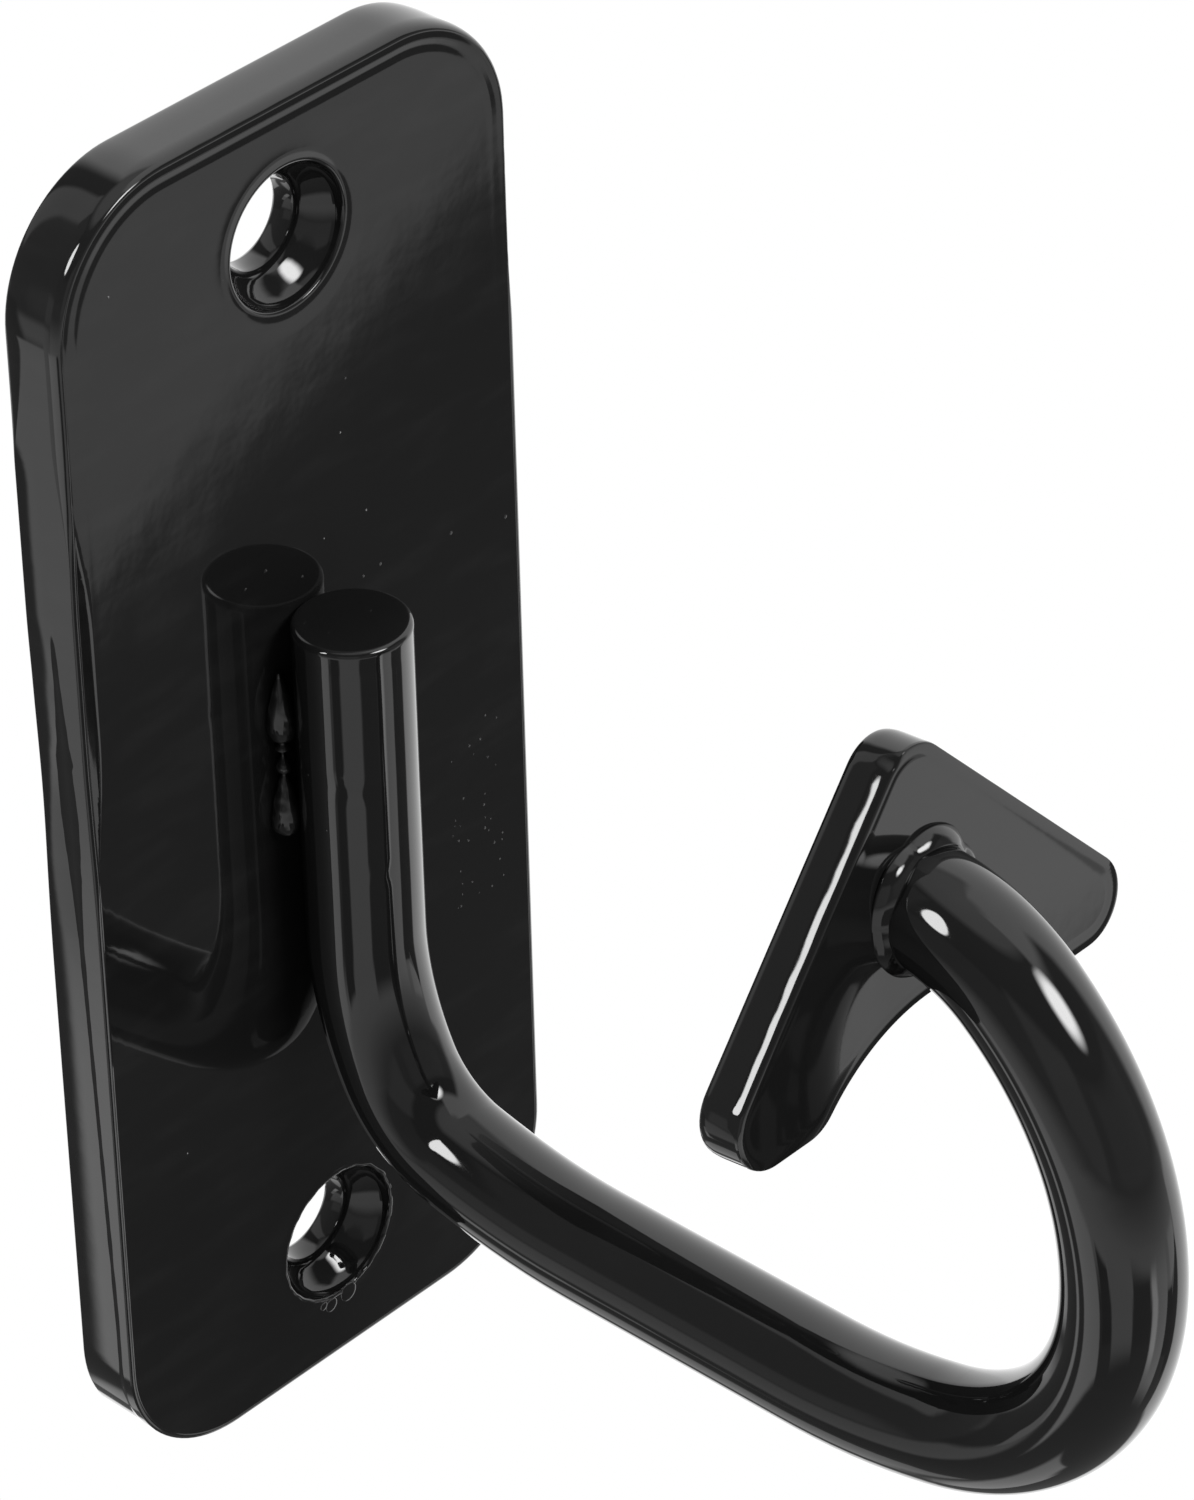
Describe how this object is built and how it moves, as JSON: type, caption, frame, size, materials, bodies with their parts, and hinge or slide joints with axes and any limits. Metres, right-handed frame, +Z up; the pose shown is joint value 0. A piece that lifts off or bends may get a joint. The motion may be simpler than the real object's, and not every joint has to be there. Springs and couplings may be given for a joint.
{
  "type": "hammock wall hook",
  "caption": "Welded wall hook: a drilled flat back plate carries a bent round bar with a triangular keeper tab on its free end, so that a hammock loop hangs in it without slipping out.",
  "frame": {"origin": "Middle of the back plate's back face, which lies against the wall.", "axes": "+X across the plate, +Y into the wall, +Z up; the hook stands out towards -Y."},
  "size_m": [0.05, 0.0964, 0.124],
  "materials": {
    "coated_steel": "gloss black coating over welded steel, with fat edges and fine dust nibs"
  },
  "bodies": {
    "root": {"back_plate": "coated_steel", "hook_bar": "coated_steel", "keeper_tab": "coated_steel", "plate_weld_left": "coated_steel", "plate_weld_right": "coated_steel", "tab_weld": "coated_steel"}
  },
  "joints": []
}
